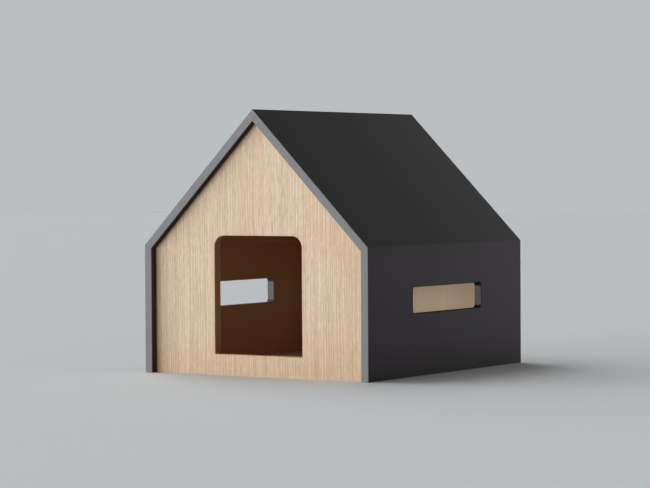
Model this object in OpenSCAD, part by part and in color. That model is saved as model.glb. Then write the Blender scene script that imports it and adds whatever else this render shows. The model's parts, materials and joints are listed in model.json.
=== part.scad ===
// Cat house: a gabled shell of black boards round an oak front, back and floor.
// The origin is on the ground, in the middle of the footprint. +Z is up and -Y is the front.

/* [Shell] */
// Width over the two side walls
house_w = 400; // [320:1:560]
// Depth from the shell's front edge to its rear edge
house_d = 454; // [360:1:640]
// Height of the eaves, where the walls meet the roof
eave_h = 194; // [165:1:300]
// Height of the ridge above the eaves
roof_rise = 202; // [130:1:300]
// Thickness of the wall and roof boards
board_t = 12; // [9:0.5:20]
// Thickness of the grey edging on the shell's front and rear edges
edging_t = 1; // [0.5:0.1:3]

/* [Front, back and floor] */
// Thickness of the front and back panels
panel_t = 15; // [9:0.5:22]
// Depth of each panel's face behind the shell's edge
recess = 12; // [4:0.5:40]
// Thickness of the floor board
floor_t = 12; // [9:0.5:20]
// Clearance round the edges of the panels and the floor
panel_gap = 0.1; // [0:0.05:0.4]

/* [Doorway] */
// Clear width of the doorway
door_w = 157; // [110:1:220]
// Clear height of the doorway
door_h = 177.5; // [120:0.5:230]
// Height of the door sill above the ground
sill_h = 31.5; // [20:0.5:60]
// Radius of the doorway's upper corners
door_r = 17; // [5:1:50]
// Thickness of the brown edging round the doorway
door_edging_t = 1; // [0.5:0.1:3]

/* [Windows] */
// Clear length of the window in each side wall
window_l = 202; // [80:1:300]
// Clear height of the windows
window_h = 39; // [20:1:70]
// Height of the windows' lower edge above the ground
window_sill_h = 93; // [50:1:115]
// Radius of the windows' corners
window_r = 6; // [2:0.5:9]
// Chamfer round the windows' outer rims
window_chamfer = 1; // [0.4:0.1:3]

/* [Dowels] */
// Diameter of a dowel
dowel_d = 6; // [4:0.5:8]
// Length of a dowel
dowel_l = 28; // [20:1:40]
// Chamfer on the ends of a dowel
dowel_chamfer = 0.6; // [0.2:0.1:1.5]
// Wood left in a shell board behind the end of a dowel hole
dowel_cover = 3; // [1:0.5:4]
// Distance from the end of a joint to its first dowel
dowel_inset = 40; // [25:1:60]
// Number of dowels along the ridge
ridge_dowel_count = 5; // [2:1:9]
// Number of dowels along each side of the floor
floor_dowel_count = 3; // [2:1:6]

/* [Splines] */
// Thickness of the spline in each mitred eave
spline_t = 3; // [2:0.5:4]
// Width of the spline, across the mitre
spline_w = 10; // [6:0.5:12]
// Distance from the shell's edge to the end of a spline
spline_inset = 25; // [10:1:60]

/* [Fits] */
// Clearance round a dowel and on each face of a spline
joint_fit = 0.1; // [0.05:0.05:0.3]
// Spare depth at the ends of a dowel hole and round a spline's edges
glue_gap = 1; // [0.5:0.1:2]

/* [Hidden] */
$fn = 64;

// Finishes
black_paint = "#2d2b2d";
grey_edge = "#83858a";
oak = "#d6bea0";
brown_edge = "#8a5f3c";
beech = "#d8b98a";

// How far a cut runs past the face that it opens
cut_over = 1;

// Sizes of the shell in a front view, with x across and z up
outer_x = house_w / 2;
inner_x = outer_x - board_t;
slope = atan2(roof_rise, outer_x);
roof_drop = board_t / cos(slope);
ridge_h = eave_h + roof_rise;
ridge_in_h = ridge_h - roof_drop;
eave_in_h = ridge_in_h - inner_x * tan(slope);
roof_in_l = inner_x / cos(slope);
mitre_angle = (90 - slope) / 2;

// The left roof board runs on past the ridge, and the right one butts against its underside
lap_x = board_t / (2 * sin(slope));
lap_h = ridge_h - lap_x * tan(slope);

// Corners of the joints in that view
eave_out = [outer_x, eave_h];
eave_in = [inner_x, eave_in_h];
ridge_out = [0, ridge_h];
ridge_in = [0, ridge_in_h];
lap_out = [lap_x, lap_h];

// Outlines of the four shell boards and of the two panels
function to_left(points) = [for (p = points) [-p[0], p[1]]];
right_wall_outline = [[inner_x, 0], [outer_x, 0], eave_out, eave_in];
left_wall_outline = to_left(right_wall_outline);
right_roof_outline = [ridge_in, lap_out, eave_out, eave_in];
left_roof_outline = concat(to_left([eave_out, eave_in]), [lap_out, ridge_out]);
panel_x = inner_x - panel_gap;
panel_top_h = ridge_in_h - panel_gap / cos(slope);
panel_side_h = panel_top_h - panel_x * tan(slope);
panel_side = [[panel_x, 0], [panel_x, panel_side_h]];
panel_far_side = to_left([panel_side[1], panel_side[0]]);
panel_outline = concat(panel_side, [[0, panel_top_h]], panel_far_side);

// Depths, from the front edge to the rear edge
front_y = -house_d / 2;
rear_y = house_d / 2;
front_panel_y = front_y + recess;
back_panel_y = rear_y - recess - panel_t;
floor_front_y = front_panel_y + panel_t + panel_gap;
floor_rear_y = back_panel_y - panel_gap;
front_dowel_y = front_panel_y + panel_t / 2;
back_dowel_y = back_panel_y + panel_t / 2;

// A dowel's length in the shell board, and the rest of it in the piece that the board holds
dowel_bite = board_t - dowel_cover - glue_gap;
dowel_tail = dowel_l - dowel_bite;

// Evenly spaced places from one end to the other
function spread(first, last, count) = [for (i = [0 : count - 1]) first + (last - first) * i / (count - 1)];

// Extrudes a front-view outline from one depth to another
module along_depth(y0, y1) {
    translate([0, y1, 0]) rotate([90, 0, 0]) linear_extrude(y1 - y0) children();
}

// The same shape on the right and, mirrored, on the left
module both_sides() {
    children();
    mirror([1, 0, 0]) children();
}

// A shell board, short of the edging at both ends
module board(outline) {
    along_depth(front_y + edging_t, rear_y - edging_t) polygon(outline);
}

module front_edging(outline) {
    color(grey_edge) along_depth(front_y, front_y + edging_t) polygon(outline);
}

module rear_edging(outline) {
    color(grey_edge) along_depth(rear_y - edging_t, rear_y) polygon(outline);
}

// A dowel along X: its bite is on the +X side of the joint and its tail on the other
module dowel() {
    r = dowel_d / 2;
    tip = r - dowel_chamfer;
    half_section = [
        [0, 0], [tip, 0], [r, dowel_chamfer],
        [r, dowel_l - dowel_chamfer], [tip, dowel_l], [0, dowel_l]
    ];
    translate([-dowel_tail, 0, 0]) rotate([0, 90, 0]) rotate_extrude() polygon(half_section);
}

// The blind holes that hold a dowel on both sides of the joint
module dowel_hole() {
    translate([-dowel_tail - glue_gap, 0, 0]) rotate([0, 90, 0])
        cylinder(d = dowel_d + 2 * joint_fit, h = dowel_l + 2 * glue_gap);
}

// Dowel places where a panel at this depth meets the right wall
module at_wall_dowels(y) {
    for (z = [dowel_inset, eave_in_h - dowel_inset])
        translate([inner_x, y, z]) children();
}

// Dowel places where a panel at this depth meets the right roof board
module at_roof_dowels(y) {
    for (s = [dowel_inset, roof_in_l - dowel_inset])
        translate([inner_x - s * cos(slope), y, eave_in_h + s * sin(slope)])
            rotate([0, slope - 90, 0]) children();
}

// Dowel places round both sides of a panel at this depth
module at_panel_dowels(y) {
    both_sides() {
        at_wall_dowels(y) children();
        at_roof_dowels(y) children();
    }
}

// Dowel places where the floor meets the right wall
module at_floor_dowels() {
    for (y = spread(floor_front_y + dowel_inset, floor_rear_y - dowel_inset, floor_dowel_count))
        translate([inner_x, y, floor_t / 2]) children();
}

// Dowel places along the ridge joint, with the bite in the left roof board
module at_ridge_dowels() {
    for (y = spread(front_y + dowel_inset, rear_y - dowel_inset, ridge_dowel_count))
        translate([lap_x / 2, y, (ridge_in_h + lap_h) / 2]) rotate([0, slope - 180, 0]) children();
}

// The spline of the right eave, square to the mitre, grown by a clearance on its faces and edges
module eave_spline(face_gap, edge_gap) {
    size = [
        spline_t + 2 * face_gap,
        house_d - 2 * spline_inset + 2 * edge_gap,
        spline_w + 2 * edge_gap
    ];
    middle = (eave_out + eave_in) / 2;
    translate([middle[0], 0, middle[1]]) rotate([0, -mitre_angle, 0]) cube(size, center = true);
}

module spline_slot() {
    eave_spline(joint_fit, glue_gap);
}

// A rectangle with four round corners, about its middle
module rounded_rectangle(w, h, r) {
    square([w - 2 * r, h], center = true);
    square([w, h - 2 * r], center = true);
    for (u = [-1, 1], v = [-1, 1])
        translate([u * (w / 2 - r), v * (h / 2 - r)]) circle(r);
}

// Section of a cut that widens at 45 degrees on both sides
function flare_section(w, depth) = [[-w / 2, 0], [w / 2, 0], [w / 2 + depth, depth], [-w / 2 - depth, depth]];

// A cut along Z that starts as a rounded rectangle and widens at 45 degrees
module flare(w, h, r, depth) {
    rotate([90, 0, 90]) linear_extrude(w - 2 * r, center = true) polygon(flare_section(h, depth));
    rotate([90, 0, 0]) linear_extrude(h - 2 * r, center = true) polygon(flare_section(w, depth));
    for (u = [-1, 1], v = [-1, 1])
        translate([u * (w / 2 - r), v * (h / 2 - r), 0]) cylinder(r1 = r, r2 = r + depth, h = depth);
}

// The right window, cut through the wall, with the chamfer on its outer rim
module window() {
    translate([outer_x, 0, window_sill_h + window_h / 2]) rotate([90, 0, 90]) {
        translate([0, 0, -board_t - cut_over])
            linear_extrude(board_t + 2 * cut_over) rounded_rectangle(window_l, window_h, window_r);
        translate([0, 0, -window_chamfer])
            flare(window_l, window_h, window_r, window_chamfer + cut_over);
    }
}

// The doorway in a front view, grown by spare at its sides and top and run down below the sill
module doorway(spare, below) {
    w = door_w + 2 * spare;
    r = door_r + spare;
    base = sill_h - below;
    top = sill_h + door_h + spare;
    translate([-w / 2, base]) square([w, top - r - base]);
    translate([-w / 2 + r, base]) square([w - 2 * r, top - base]);
    for (u = [-1, 1])
        translate([u * (w / 2 - r), top - r]) circle(r);
}

// The right wall as it is cut, which the left wall mirrors
module wall() {
    color(black_paint) difference() {
        board(right_wall_outline);
        window();
        spline_slot();
        at_wall_dowels(front_dowel_y) dowel_hole();
        at_wall_dowels(back_dowel_y) dowel_hole();
        at_floor_dowels() dowel_hole();
    }
}

// What is cut from the right roof board at its eave and where the panels meet it
module roof_cuts() {
    spline_slot();
    at_roof_dowels(front_dowel_y) dowel_hole();
    at_roof_dowels(back_dowel_y) dowel_hole();
}

// A panel at this depth, with the dowel holes in its edges
module panel(y) {
    difference() {
        along_depth(y, y + panel_t) polygon(panel_outline);
        at_panel_dowels(y + panel_t / 2) dowel_hole();
    }
}

module left_wall() {
    mirror([1, 0, 0]) wall();
}

module right_wall() {
    wall();
}

module left_roof() {
    color(black_paint) difference() {
        board(left_roof_outline);
        mirror([1, 0, 0]) roof_cuts();
        at_ridge_dowels() dowel_hole();
    }
}

module right_roof() {
    color(black_paint) difference() {
        board(right_roof_outline);
        roof_cuts();
        at_ridge_dowels() dowel_hole();
    }
}

module front_panel() {
    color(oak) difference() {
        panel(front_panel_y);
        along_depth(front_panel_y - cut_over, front_panel_y + panel_t + cut_over)
            doorway(door_edging_t, door_edging_t);
    }
}

module back_panel() {
    color(oak) panel(back_panel_y);
}

module floor_panel() {
    color(oak) difference() {
        translate([-panel_x, floor_front_y, 0]) cube([2 * panel_x, floor_rear_y - floor_front_y, floor_t]);
        both_sides() at_floor_dowels() dowel_hole();
    }
}

module left_wall_front_edging() {
    front_edging(left_wall_outline);
}

module right_wall_front_edging() {
    front_edging(right_wall_outline);
}

module left_roof_front_edging() {
    front_edging(left_roof_outline);
}

module right_roof_front_edging() {
    front_edging(right_roof_outline);
}

module left_wall_rear_edging() {
    rear_edging(left_wall_outline);
}

module right_wall_rear_edging() {
    rear_edging(right_wall_outline);
}

module left_roof_rear_edging() {
    rear_edging(left_roof_outline);
}

module right_roof_rear_edging() {
    rear_edging(right_roof_outline);
}

// The edging up both sides of the doorway and over its top
module door_arch_edging() {
    color(brown_edge) along_depth(front_panel_y, front_panel_y + panel_t) difference() {
        doorway(door_edging_t, 0);
        doorway(0, cut_over);
    }
}

// The strip along the sill, which the arch edging stands on
module door_sill_edging() {
    strip_w = door_w + 2 * door_edging_t;
    color(brown_edge) along_depth(front_panel_y, front_panel_y + panel_t)
        translate([-strip_w / 2, sill_h - door_edging_t]) square([strip_w, door_edging_t]);
}

module left_eave_spline() {
    color(beech) mirror([1, 0, 0]) eave_spline(0, 0);
}

module right_eave_spline() {
    color(beech) eave_spline(0, 0);
}

module ridge_dowels() {
    color(beech) at_ridge_dowels() dowel();
}

module front_panel_dowels() {
    color(beech) at_panel_dowels(front_dowel_y) dowel();
}

module back_panel_dowels() {
    color(beech) at_panel_dowels(back_dowel_y) dowel();
}

module floor_dowels() {
    color(beech) both_sides() at_floor_dowels() dowel();
}

left_wall();
right_wall();
left_roof();
right_roof();
front_panel();
back_panel();
floor_panel();
left_wall_front_edging();
right_wall_front_edging();
left_roof_front_edging();
right_roof_front_edging();
left_wall_rear_edging();
right_wall_rear_edging();
left_roof_rear_edging();
right_roof_rear_edging();
door_arch_edging();
door_sill_edging();
left_eave_spline();
right_eave_spline();
ridge_dowels();
front_panel_dowels();
back_panel_dowels();
floor_dowels();
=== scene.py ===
import json
import math

import bpy
from mathutils import Matrix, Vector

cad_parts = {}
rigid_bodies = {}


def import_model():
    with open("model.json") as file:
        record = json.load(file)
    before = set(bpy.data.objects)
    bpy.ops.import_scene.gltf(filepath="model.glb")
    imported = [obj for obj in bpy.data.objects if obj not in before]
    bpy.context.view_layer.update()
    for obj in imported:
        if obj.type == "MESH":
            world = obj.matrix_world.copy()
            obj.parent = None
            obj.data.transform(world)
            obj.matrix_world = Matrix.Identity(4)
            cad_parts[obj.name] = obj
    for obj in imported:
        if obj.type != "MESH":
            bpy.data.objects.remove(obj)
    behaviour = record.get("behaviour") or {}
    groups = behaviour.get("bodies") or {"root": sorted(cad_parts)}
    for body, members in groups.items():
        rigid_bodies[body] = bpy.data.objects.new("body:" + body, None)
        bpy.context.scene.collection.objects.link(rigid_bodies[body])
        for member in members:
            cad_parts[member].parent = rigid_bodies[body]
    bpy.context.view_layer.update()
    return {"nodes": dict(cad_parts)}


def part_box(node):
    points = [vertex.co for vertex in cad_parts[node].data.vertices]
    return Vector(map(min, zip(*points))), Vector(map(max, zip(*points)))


# An empty scene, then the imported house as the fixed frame
for old in list(bpy.data.objects):
    bpy.data.objects.remove(old)
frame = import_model()

# Places read from the frame, in metres, and the slope of the roof
wall_low, wall_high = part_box("right_wall")
panel_low, panel_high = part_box("front_panel")
back_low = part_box("back_panel")[0]
roof_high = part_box("left_roof")[1]
OUTER_X = wall_high.x
INNER_X = wall_low.x
PANEL_FRONT_Y = panel_low.y
CABIN_FRONT_Y = panel_high.y
CABIN_REAR_Y = back_low.y
PANEL_TOP_Z = panel_high.z
RIDGE_Z = roof_high.z
ROOF_SLOPE = math.atan2(RIDGE_Z - wall_high.z, OUTER_X)

# Nodes that share a finish
SHELL_BOARDS = ["left_wall", "right_wall", "left_roof", "right_roof"]
SHELL_EDGING = [f"{board}_{end}_edging" for board in SHELL_BOARDS for end in ("front", "rear")]
DOOR_EDGING = ["door_arch_edging", "door_sill_edging"]
JOINERY = ["left_eave_spline", "right_eave_spline", "ridge_dowels"]
JOINERY += ["front_panel_dowels", "back_panel_dowels", "floor_dowels"]

# Camera: turned to the house's left, tipped down and rolled clockwise, in degrees, from a place in metres
CAMERA_YAW = 33.176
CAMERA_PITCH = 1.524
CAMERA_ROLL = 0.330
CAMERA_PLACE = (2.1297, -3.2901, 0.2959)
CAMERA_LENS_MM = 140.0
SENSOR_MM = 36.0

# Light: a low row of soft suns in front and to the left, like one wide window, and a higher soft light on
# the left. Turns count to the right from straight ahead of the doorway. Angles are in degrees. The row's
# strengths go by the turn, and only its suns to the left of the sheen's turn show in reflections.
WINDOW_STRENGTHS = {-70: 0.60, -56: 0.38, -42: 0.96, -28: 0.51, -14: 0.95, 0: 0.42}
WINDOW_HEIGHT = 4.0
WINDOW_SPREAD = 14.0
SHEEN_TURN = -20.0
SIDE_TURN = -95.0
SIDE_HEIGHT = 30.0
SIDE_SPREAD = 80.0
SIDE_STRENGTH = 2.3
DAYLIGHT_COLOUR = (0.985, 1.0, 1.015)

# A weak fill that changes from front to rear, a pale background for the camera, and a pale room with a
# darker ceiling for reflections. The changes lie along Y and Z of a direction of length 1.
FRONT_FILL_COLOUR = (0.135, 0.112, 0.088)
REAR_FILL_COLOUR = (0.24, 0.24, 0.24)
FILL_CHANGE = (-0.3, 0.6)
BACKGROUND_COLOUR = (0.499, 0.518, 0.531)
REFLECTED_COLOUR = (0.82, 0.75, 0.85)
CEILING_COLOUR = (0.33, 0.33, 0.33)
CEILING_CHANGE = (0.12, 0.5)

# A pale panel behind the house, which only reflections see, in metres and watts
PANEL_PLACE = (0.02, 0.5, 0.46)
PANEL_SIZE = (2.0, 0.4)
PANEL_POWER = 1.15

# The floor: its colour for the camera, for reflections and for the light that it throws back
FLOOR_COLOUR = (0.755, 0.791, 0.8205)
FLOOR_SHEEN_COLOUR = (0.70, 0.63, 0.71)
FLOOR_BOUNCE_COLOUR = (0.30, 0.30, 0.30)
FLOOR_ROUGHNESS = 0.9
FLOOR_SPECULAR = 0.1
FLOOR_HALF_SIZE = 14.0

# Bevel on the arrises of the edging strips, in metres and degrees
ARRIS_WIDTH = 0.0003
ARRIS_SEGMENTS = 2
ARRIS_ANGLE = 30.0
WELD_REACH = 1e-6

# In all finishes below, a pattern of noise is its features in a metre, its stretch along Z, where less is
# longer, its detail and its roughness. A relief is a depth in metres. Clouding is the greatest share that a
# cloud's tone can have.

# Pale and dark tones of the woods. The oak on the floor and on the back panel's face towards the cabin is a
# paler, greyer copy of the oak outside, painted light for the brighter, cooler light in the cabin. On that
# face the fine grain has only a share of the front's contrast. The thickness of a veneer is in metres.
OAK = ((0.636, 0.533, 0.389), (0.557, 0.380, 0.2475))
CABIN_OAK_PAINTED_LIGHT = ((0.660, 0.590, 0.437), (0.578, 0.421, 0.278))
INNER_SWING = 0.22
BROWN_WOOD = ((0.68, 0.385, 0.2), (0.57, 0.305, 0.142))
VENEER = 0.0005
WOOD_ROUGHNESS = (0.50, 0.66)
WOOD_SPECULAR = 0.30
WOOD_RELIEF = 0.00006

# Grain: it stands upright or lies from front to rear, and its wander to each side is in metres
UPRIGHT = (0.0, 0.0, 0.0)
LYING = (math.radians(90), 0.0, 0.0)
WANDER = 0.005
WANDER_PATTERN = (5.0, 0.5, 1.0, 0.5)
GRAIN_PATTERNS = {
    "broad_bands": (26.0, 0.15, 0.0, 0.5),
    "narrow_bands": (90.0, 0.10, 1.0, 0.6),
    "broad_hues": (70.0, 0.12, 0.0, 0.5),
    "narrow_hues": (150.0, 0.08, 0.0, 0.5),
    "ring_crowding": (60.0, 0.04, 1.0, 0.5),
    "ring_depth": (180.0, 0.10, 1.0, 0.5),
    "lines": (300.0, 0.01, 0.0, 0.5),
    "streaks": (700.0, 0.03, 1.0, 0.6),
    "flecks": (250.0, 0.45, 1.0, 0.5),
    "dashes": (650.0, 0.06, 0.0, 0.5),
    "fibres": (1500.0, 0.03, 1.0, 0.5),
}

# Weights of the patterns in the grain's layers. The bands go from the dark tone to the pale one. The other
# layers multiply that tone by a tint, which goes from the first of a pair to the second.
BANDS = {"broad_bands": 0.35, "narrow_bands": 0.5}
HUES = {"broad_hues": 1.0, "narrow_hues": 1.4}
HUE_TINTS = ((1.012, 0.970, 0.958), (0.988, 1.030, 1.042))
FINE_LINES = {"rings": 1.3, "lines": 1.3, "streaks": 0.9}
LINE_TINTS = ((0.910, 0.857, 0.847), (1.090, 1.143, 1.153))
FLECKS = {"flecks": 1.0}
FLECK_TINTS = ((0.925, 0.810, 0.787), (1.075, 1.190, 1.213))

# Rings: their spacing is in metres. At a scale of 1 their wave turns by so many radians in a metre, and
# crowding shifts it by so many at most. They fade in between two levels of noise. The middle level shows
# no ring.
RING_SPACING = 0.0042
WAVE_RADIANS = 20.0
RING_SHIFT = 16.0
RING_FADE = (0.3, 0.55)
NO_RING = (0.5, 0.5, 0.5)

# Dark dashes: the levels of noise between which they fade in, their weight, and their share of the dark tone
DASH_FADE = (0.63, 0.73)
DASH_WEIGHT = 0.6
DASH_SHADE = 0.84

# Painted shade: the woods are browner and darker at the ground, where less light falls. The tint fades out
# upwards, ever more gently, up to a height in metres.
PAINTED_FOOT_SHADE = (0.91, 0.84, 0.77)
FOOT_HEIGHT = 0.12
FOOT_POWER = 2.0

# Black paint, whose sheen is all in its coat, and the browner black of the recesses, which is painted warm
# light bounced from the oak panel
PAINT_BLACKS = ((0.010, 0.0095, 0.010), (0.016, 0.0155, 0.016))
PAINT_CLOUDS = (14.0, 1.0, 3.0, 0.6)
PAINT_PEEL = (700.0, 1.0, 2.0, 0.6)
PAINT_ROUGHNESS = (0.36, 0.46)
PAINT_SPECULAR = 0.0
PAINT_RELIEF = 0.00005
COAT_WEIGHT = 0.22
COAT_ROUGHNESS = 0.41
COAT_IOR = 2.5
RECESS_PAINTED_BOUNCE_BLACK = (0.027, 0.017, 0.011)

# Bare board inside the cabin. The masks of the inner faces reach past them by so many metres.
BARE_BROWNS = ((0.70, 0.425, 0.235), (0.58, 0.34, 0.175))
BARE_FIBRES = (1100.0, 1.0, 3.0, 0.7)
BARE_CLOUDS = (60.0, 1.0, 2.0, 0.5)
BARE_CLOUD = (0.64, 0.38, 0.205)
BARE_CLOUDING = 0.35
BARE_ROUGHNESS = 0.85
MASK_REACH = 0.0001

# Grey edging. Its grey is in part painted sheen: part of the window's reflection in the edges is in
# their colour
GREYS_WITH_PAINTED_SHEEN = ((0.150, 0.153, 0.160), (0.196, 0.199, 0.207))
GREY_STREAKS = (500.0, 0.25, 2.0, 0.6)
GREY_CLOUDS = (30.0, 1.0, 2.0, 0.5)
GREY_CLOUD = (0.173, 0.176, 0.184)
GREY_CLOUDING = 0.5
GREY_ROUGHNESS = (0.46, 0.58)
GREY_SPECULAR = 0.22
GREY_RELIEF = 0.00003

# Beech of the joinery
BEECH = ((0.66, 0.48, 0.29), (0.55, 0.38, 0.21))
BEECH_FIBRES = (1100.0, 1.0, 3.0, 0.7)
BEECH_CLOUDS = (45.0, 1.0, 2.0, 0.5)
BEECH_CLOUDING = 0.4
BEECH_ROUGHNESS = (0.75, 0.92)
BEECH_SPECULAR = 0.25
BEECH_RELIEF = 0.00008


def opaque(colour):
    """Three numbers with the fourth that a colour socket takes. Another node's output stays as it is."""
    return (*colour, 1.0) if isinstance(colour, tuple) else colour


class Nodes:
    """A node tree that is built from one node's output to the next."""

    def __init__(self, tree):
        self.tree = tree

    def join(self, node, inputs):
        """Gives each input its value, or links it to another node's output."""
        for key, value in inputs.items():
            socket = node.inputs[key]
            if isinstance(value, bpy.types.NodeSocket):
                self.tree.links.new(value, socket)
            else:
                socket.default_value = value

    def node(self, kind, inputs=None, output=0, **settings):
        """Adds a node and returns one of its outputs."""
        made = self.tree.nodes.new("ShaderNode" + kind)
        for key, value in settings.items():
            setattr(made, key, value)
        self.join(made, inputs or {})
        return made.outputs[output]

    def axes(self, vector):
        """The X, Y and Z of a vector."""
        return self.node("SeparateXYZ", {0: vector}).node.outputs

    def step(self, value, low, high, ramp="LINEAR"):
        """0 at low, 1 at high, a ramp between them and level beyond."""
        inputs = {"Value": value, "From Min": low, "From Max": high}
        return self.node("MapRange", inputs, interpolation_type=ramp)

    def mix(self, factor, first, second, blend="MIX"):
        """Two colours mixed by a factor, through the colour sockets among the mix node's many."""
        inputs = {0: factor, 6: opaque(first), 7: opaque(second)}
        return self.node("Mix", inputs, 2, data_type="RGBA", blend_type=blend)


class Finish(Nodes):
    """A material whose colour, roughness and bump come from its own nodes."""

    def __init__(self, name):
        self.material = bpy.data.materials.new(name)
        self.material.use_nodes = True
        super().__init__(self.material.node_tree)
        self.shader = self.tree.nodes["Principled BSDF"]
        self.place = self.node("TexCoord", output="Object")

    def math(self, operation, *values):
        """One operation on as many values as it needs."""
        return self.node("Math", dict(enumerate(values)), operation=operation)

    def spread(self, value, low, high):
        """A value from 0 to 1, moved to the range from low to high."""
        return self.node("MapRange", {"Value": value, "To Min": low, "To Max": high})

    def noise(self, pattern, place=None):
        """Noise with a pattern, at the object's own places unless others are given."""
        per_metre, along, detail, roughness = pattern
        source = self.place if place is None else place
        drawn = self.node("Mapping", {"Vector": source, "Scale": (1.0, 1.0, along)})
        inputs = {"Vector": drawn, "Scale": per_metre, "Detail": detail, "Roughness": roughness}
        return self.node("TexNoise", inputs)

    def blend(self, noises, weights, swing=1.0):
        """0.5 plus weighted noises, each of which swings evenly about its middle."""
        total = 0.5 - 0.5 * swing * sum(weights.values())
        for name, weight in weights.items():
            total = self.math("MULTIPLY_ADD", noises[name], swing * weight, total)
        return total

    def tint(self, colour, level, tints):
        """The colour times a tint, which goes from the first to the second as the level rises."""
        return self.mix(1.0, colour, self.mix(level, *tints), "MULTIPLY")

    def bump(self, height, depth):
        """A relief of so many metres."""
        return self.node("Bump", {"Height": height, "Distance": depth})

    def finished(self, inputs):
        """The material, once its shader has these inputs."""
        self.join(self.shader, inputs)
        return self.material


def grain_places(wood, turn):
    """Places in the wood, turned so that the grain runs along Z, and wandering a little to the sides."""
    turned = wood.node("Mapping", {"Vector": wood.place, "Rotation": turn})
    wander = wood.spread(wood.noise(WANDER_PATTERN, turned), -WANDER, WANDER)
    shift = wood.node("CombineXYZ", {"X": wander})
    return wood.node("VectorMath", {0: turned, 1: shift}, operation="ADD")


def ring_lines(wood, places, crowding, depth):
    """Fine ring lines across X, crowded here and open there, that fade out in patches."""
    scale = 2 * math.pi / WAVE_RADIANS / RING_SPACING
    inputs = {"Vector": places, "Scale": scale, "Phase Offset": wood.spread(crowding, 0.0, RING_SHIFT)}
    rings = wood.node("TexWave", inputs, "Fac", bands_direction="X")
    return wood.mix(wood.step(depth, *RING_FADE), NO_RING, rings)


def painted_foot_shade(wood, colour):
    """The colour with painted shade: browner and darker near the ground, where less light falls."""
    height = wood.axes(wood.place)["Z"]
    nearness = wood.math("POWER", wood.step(height, FOOT_HEIGHT, 0.0), FOOT_POWER)
    return wood.mix(nearness, colour, PAINTED_FOOT_SHADE, "MULTIPLY")


def add_grain(wood, tones, turn=UPRIGHT, swing=1.0):
    """Straight grain: bands of tone, and hues, fine lines, flecks and short dark dashes, whose contrast is
    the swing. Returns the colour, a sheen pattern and a relief."""
    pale, dark = tones
    places = grain_places(wood, turn)
    noises = {name: wood.noise(pattern, places) for name, pattern in GRAIN_PATTERNS.items()}
    noises["rings"] = ring_lines(wood, places, noises["ring_crowding"], noises["ring_depth"])
    colour = wood.mix(wood.blend(noises, BANDS), dark, pale)
    colour = wood.tint(colour, wood.blend(noises, HUES, swing), HUE_TINTS)
    colour = wood.tint(colour, wood.blend(noises, FINE_LINES, swing), LINE_TINTS)
    colour = wood.tint(colour, wood.blend(noises, FLECKS, swing), FLECK_TINTS)
    # Painted shade near the ground
    colour = painted_foot_shade(wood, colour)

    dashes = wood.math("MULTIPLY", wood.step(noises["dashes"], *DASH_FADE), DASH_WEIGHT * swing)
    colour = wood.mix(dashes, colour, tuple(DASH_SHADE * part for part in dark))
    return colour, noises["streaks"], wood.math("SUBTRACT", noises["fibres"], dashes)


def matte_wood(wood, colour, sheen, relief):
    """Matte wood with the grain's own colour, sheen and relief."""
    return wood.finished({
        "Base Color": colour,
        "Roughness": wood.spread(sheen, *WOOD_ROUGHNESS),
        "Specular IOR Level": WOOD_SPECULAR,
        "Normal": wood.bump(relief, WOOD_RELIEF),
    })


def oak_veneer(name, tones, turn=UPRIGHT):
    """Pale oak with fine straight grain."""
    oak = Finish(name)
    return matte_wood(oak, *add_grain(oak, tones, turn))


def faced_wood(name, body, face, face_end, face_swing=1.0):
    """Wood with a veneer of another tone on its face towards the doorway, up to a depth."""
    wood = Finish(name)
    colour, sheen, relief = add_grain(wood, body)
    veneer = add_grain(wood, face, swing=face_swing)[0]
    depth = wood.axes(wood.place)["Y"]
    veneered = wood.math("LESS_THAN", depth, face_end)
    return matte_wood(wood, wood.mix(veneered, colour, veneer), sheen, relief)


def inner_masks(paint):
    """1 on the shell's inner faces, and 1 on the part of them between the two panels."""
    x, y, z = paint.axes(paint.place)
    across = paint.math("ABSOLUTE", x)
    inside_wall = paint.math("LESS_THAN", across, INNER_X + MASK_REACH)
    roof_height = paint.math("MULTIPLY_ADD", across, -math.tan(ROOF_SLOPE), PANEL_TOP_Z + 2 * MASK_REACH)
    under_roof = paint.math("LESS_THAN", z, roof_height)
    inner = paint.math("MULTIPLY", inside_wall, under_roof)
    behind_front = paint.math("GREATER_THAN", y, CABIN_FRONT_Y)
    before_back = paint.math("LESS_THAN", y, CABIN_REAR_Y)
    between = paint.math("MULTIPLY", behind_front, before_back)
    return inner, paint.math("MULTIPLY", inner, between)


def painted_board():
    """Satin black paint outside and in the windows, a browner black, painted warm light bounced from the oak,
    in the recess at each end of the shell, and bare brown fibreboard inside the cabin."""
    paint = Finish("black_paint")
    inner, cabin = inner_masks(paint)
    black = paint.mix(paint.noise(PAINT_CLOUDS), *PAINT_BLACKS)
    # Painted light: the recesses' black is browner, where warm light bounces from the oak panel
    black = paint.mix(inner, black, RECESS_PAINTED_BOUNCE_BLACK)
    brown = paint.mix(paint.noise(BARE_FIBRES), *BARE_BROWNS)
    clouding = paint.spread(paint.noise(BARE_CLOUDS), 0.0, BARE_CLOUDING)
    brown = paint.mix(clouding, brown, BARE_CLOUD)

    peel = paint.noise(PAINT_PEEL)
    satin = paint.spread(peel, *PAINT_ROUGHNESS)
    relief = paint.bump(peel, PAINT_RELIEF)
    return paint.finished({
        "Base Color": paint.mix(cabin, black, brown),
        "Roughness": paint.math("MAXIMUM", satin, paint.math("MULTIPLY", cabin, BARE_ROUGHNESS)),
        "Specular IOR Level": PAINT_SPECULAR,
        "Normal": relief,
        "Coat Weight": COAT_WEIGHT,
        "Coat Roughness": COAT_ROUGHNESS,
        "Coat IOR": COAT_IOR,
        "Coat Normal": relief,
    })


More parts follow.
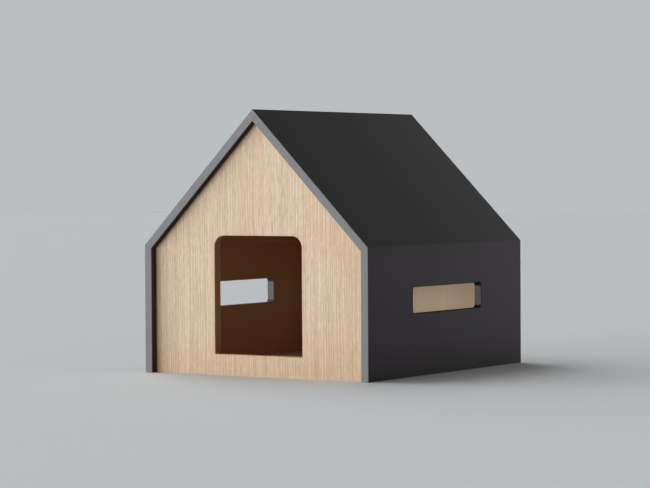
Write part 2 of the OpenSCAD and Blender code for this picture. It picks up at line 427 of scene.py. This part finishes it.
def grey_strip_with_painted_sheen():
    """Satin grey edging, partly painted window sheen, with faint upright streaks over soft clouds."""
    strip = Finish("grey_edging")
    streaks = strip.noise(GREY_STREAKS)
    clouding = strip.spread(strip.noise(GREY_CLOUDS), 0.0, GREY_CLOUDING)
    return strip.finished({
        # Part of this grey is painted sheen of the window
        "Base Color": strip.mix(clouding, strip.mix(streaks, *GREYS_WITH_PAINTED_SHEEN), GREY_CLOUD),
        "Roughness": strip.spread(streaks, *GREY_ROUGHNESS),
        "Specular IOR Level": GREY_SPECULAR,
        "Normal": strip.bump(streaks, GREY_RELIEF),
    })


def plain_beech():
    """Plain beech: a fine speckle of fibres over soft clouds of its dark tone."""
    beech = Finish("beech")
    pale, dark = BEECH
    fibres = beech.noise(BEECH_FIBRES)
    clouding = beech.spread(beech.noise(BEECH_CLOUDS), 0.0, BEECH_CLOUDING)
    return beech.finished({
        "Base Color": beech.mix(clouding, beech.mix(fibres, pale, dark), dark),
        "Roughness": beech.spread(fibres, *BEECH_ROUGHNESS),
        "Specular IOR Level": BEECH_SPECULAR,
        "Normal": beech.bump(fibres, BEECH_RELIEF),
    })


def dress(finish, *nodes):
    """Puts one finish on CAD nodes."""
    for name in nodes:
        slots = frame["nodes"][name].data.materials
        slots.clear()
        slots.append(finish)


def soften(name):
    """Rounds a strip's arrises by a small bevel, without touching its mesh."""
    strip = frame["nodes"][name]
    weld = strip.modifiers.new("weld", "WELD")
    weld.merge_threshold = WELD_REACH
    bevel = strip.modifiers.new("arris", "BEVEL")
    bevel.width = ARRIS_WIDTH
    bevel.segments = ARRIS_SEGMENTS
    bevel.limit_method = "ANGLE"
    bevel.angle_limit = math.radians(ARRIS_ANGLE)
    normals = strip.modifiers.new("normals", "WEIGHTED_NORMAL")
    normals.keep_sharp = False


def add_object(name, data):
    """A new object in the scene."""
    made = bpy.data.objects.new(name, data)
    bpy.context.scene.collection.objects.link(made)
    return made


def add_camera():
    """A long lens in front of the house and to its right."""
    data = bpy.data.cameras.new("camera")
    data.sensor_fit = "HORIZONTAL"
    data.sensor_width = SENSOR_MM
    data.lens = CAMERA_LENS_MM
    camera = add_object("camera", data)
    turned = Matrix.Rotation(math.radians(CAMERA_YAW), 4, "Z")
    tipped = Matrix.Rotation(math.radians(90 - CAMERA_PITCH), 4, "X")
    rolled = Matrix.Rotation(math.radians(-CAMERA_ROLL), 4, "Z")
    camera.matrix_world = Matrix.Translation(CAMERA_PLACE) @ turned @ tipped @ rolled
    bpy.context.scene.camera = camera


def add_sun(name, turn, height, spread, strength):
    """A soft light from far away, at a turn to the right of straight ahead of the doorway."""
    data = bpy.data.lights.new(name, "SUN")
    data.energy = strength
    data.color = DAYLIGHT_COLOUR
    data.angle = math.radians(spread)
    sun = add_object(name, data)
    sun.rotation_euler = (math.radians(90 - height), 0.0, math.radians(turn))
    return sun


def add_window():
    """The low row of suns."""
    for turn, strength in WINDOW_STRENGTHS.items():
        sun = add_sun("window", turn, WINDOW_HEIGHT, WINDOW_SPREAD, strength)
        sun.visible_glossy = turn < SHEEN_TURN


def add_reflected_panel():
    """A pale panel behind the house, tilted like the right roof and seen only in the sheen of its faces."""
    data = bpy.data.lights.new("panel", "AREA")
    data.shape = "RECTANGLE"
    data.size, data.size_y = PANEL_SIZE
    data.energy = PANEL_POWER
    panel = add_object("panel", data)
    panel.location = PANEL_PLACE
    panel.rotation_euler = (math.radians(-90), ROOF_SLOPE, 0.0)
    panel.visible_camera = False
    panel.visible_diffuse = False


def add_world():
    """A weak fill, a pale background for the camera, and a room with a darker ceiling for reflections."""
    world = bpy.data.worlds.new("studio")
    bpy.context.scene.world = world
    world.use_nodes = True
    sky = Nodes(world.node_tree)
    direction = sky.axes(sky.node("TexCoord", output="Generated"))
    rearward = sky.step(direction["Y"], *FILL_CHANGE, "SMOOTHSTEP")
    overhead = sky.step(direction["Z"], *CEILING_CHANGE, "SMOOTHSTEP")
    fill = sky.mix(rearward, FRONT_FILL_COLOUR, REAR_FILL_COLOUR)
    room = sky.mix(overhead, REFLECTED_COLOUR, CEILING_COLOUR)
    colour = sky.mix(sky.node("LightPath", output="Is Glossy Ray"), fill, room)
    colour = sky.mix(sky.node("LightPath", output="Is Camera Ray"), colour, BACKGROUND_COLOUR)
    sky.join(sky.tree.nodes["Background"], {"Color": colour})


def add_floor():
    """A plain pale floor that the house stands on."""
    reach = FLOOR_HALF_SIZE
    corners = [(-reach, -reach, 0.0), (reach, -reach, 0.0), (reach, reach, 0.0), (-reach, reach, 0.0)]
    mesh = bpy.data.meshes.new("floor")
    mesh.from_pydata(corners, [], [(0, 1, 2, 3)])
    pale = Finish("pale_floor")
    reflected = pale.node("LightPath", output="Is Glossy Ray")
    seen = pale.node("LightPath", output="Is Camera Ray")
    colour = pale.mix(reflected, FLOOR_BOUNCE_COLOUR, FLOOR_SHEEN_COLOUR)
    mesh.materials.append(pale.finished({
        "Base Color": pale.mix(seen, colour, FLOOR_COLOUR),
        "Roughness": FLOOR_ROUGHNESS,
        "Specular IOR Level": FLOOR_SPECULAR,
    }))
    floor = add_object("floor", mesh)


# The studio
bpy.context.scene.view_settings.view_transform = "Standard"
add_camera()
add_window()
add_sun("side", SIDE_TURN, SIDE_HEIGHT, SIDE_SPREAD, SIDE_STRENGTH)
add_reflected_panel()
add_world()
add_floor()

# The finishes of all nodes, and the arrises of the strips
dress(painted_board(), *SHELL_BOARDS)
dress(oak_veneer("oak_front", OAK), "front_panel")
# The back panel's face towards the cabin and the floor get the paler oak, painted light of the cabin
dress(faced_wood("oak_back", OAK, CABIN_OAK_PAINTED_LIGHT, CABIN_REAR_Y + VENEER, INNER_SWING), "back_panel")
dress(oak_veneer("oak_floor", CABIN_OAK_PAINTED_LIGHT, LYING), "floor_panel")
dress(grey_strip_with_painted_sheen(), *SHELL_EDGING)
dress(faced_wood("brown_edging", BROWN_WOOD, OAK, PANEL_FRONT_Y + VENEER), *DOOR_EDGING)
dress(plain_beech(), *JOINERY)
for strip_name in SHELL_EDGING + DOOR_EDGING:
    soften(strip_name)
